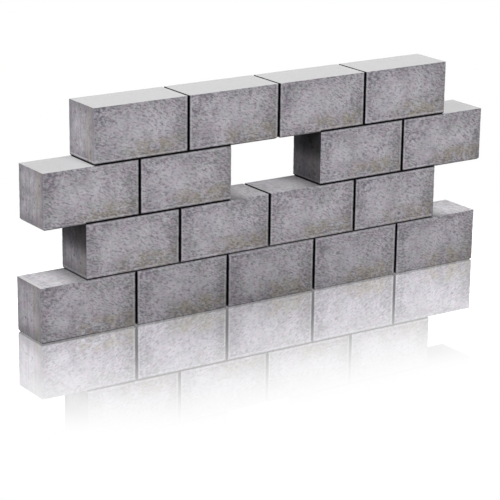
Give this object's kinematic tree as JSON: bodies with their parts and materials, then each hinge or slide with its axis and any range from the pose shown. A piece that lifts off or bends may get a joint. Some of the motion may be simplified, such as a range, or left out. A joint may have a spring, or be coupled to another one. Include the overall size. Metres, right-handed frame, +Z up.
{
  "type": "stack of concrete blocks",
  "caption": "Free-standing dry stack of plain solid concrete blocks, laid flat in half bond with open joints, toothed ends and a gap where a block is left out.",
  "frame": {"origin": "on the floor, under the middle of the first course and half way through the stack's depth", "axes": "+X along the stack to the right of someone facing its front, +Y from the front to the back, +Z up"},
  "size_m": [2.002, 0.18, 0.84],
  "materials": {
    "concrete": "rough cast grey concrete, mottled and pitted on the faces and ends, smoother and paler on the beds"
  },
  "bodies": {
    "root": {"course_1_block_1": "concrete", "course_1_block_2": "concrete", "course_1_block_3": "concrete", "course_1_block_4": "concrete", "course_1_block_5": "concrete", "course_2_block_1": "concrete", "course_2_block_2": "concrete", "course_2_block_3": "concrete", "course_2_block_4": "concrete", "course_3_block_1": "concrete", "course_3_block_2": "concrete", "course_3_block_4": "concrete", "course_3_block_5": "concrete", "course_4_block_1": "concrete", "course_4_block_2": "concrete", "course_4_block_3": "concrete", "course_4_block_4": "concrete"}
  },
  "joints": []
}
